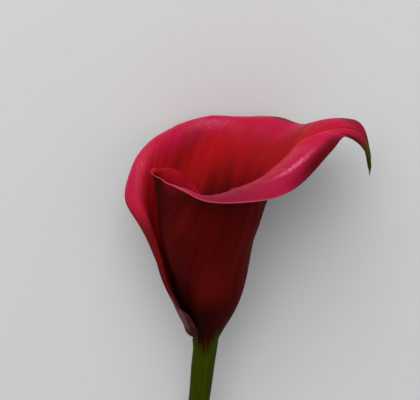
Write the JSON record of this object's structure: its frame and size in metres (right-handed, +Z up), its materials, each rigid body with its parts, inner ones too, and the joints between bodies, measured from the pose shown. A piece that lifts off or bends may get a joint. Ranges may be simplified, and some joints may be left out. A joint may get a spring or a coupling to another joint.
{
  "type": "calla lily flower",
  "caption": "Cut calla lily lying on its back: a rolled, flaring spathe with a curled-down tip, a finger-like spadix in its funnel and a smooth cut stem.",
  "frame": {"origin": "centre of the bounding box on the surface that the flower lies on", "axes": "+Z up from that surface, +Y along the stem towards the mouth of the flower, +X towards the tip of the spathe"},
  "size_m": [0.1082, 0.2176, 0.0814],
  "materials": {
    "stem": "satin",
    "spathe": "satin",
    "spadix": "matte"
  },
  "bodies": {
    "root": {"stem": "stem", "spathe": "spathe", "spadix": "spadix"}
  },
  "joints": []
}
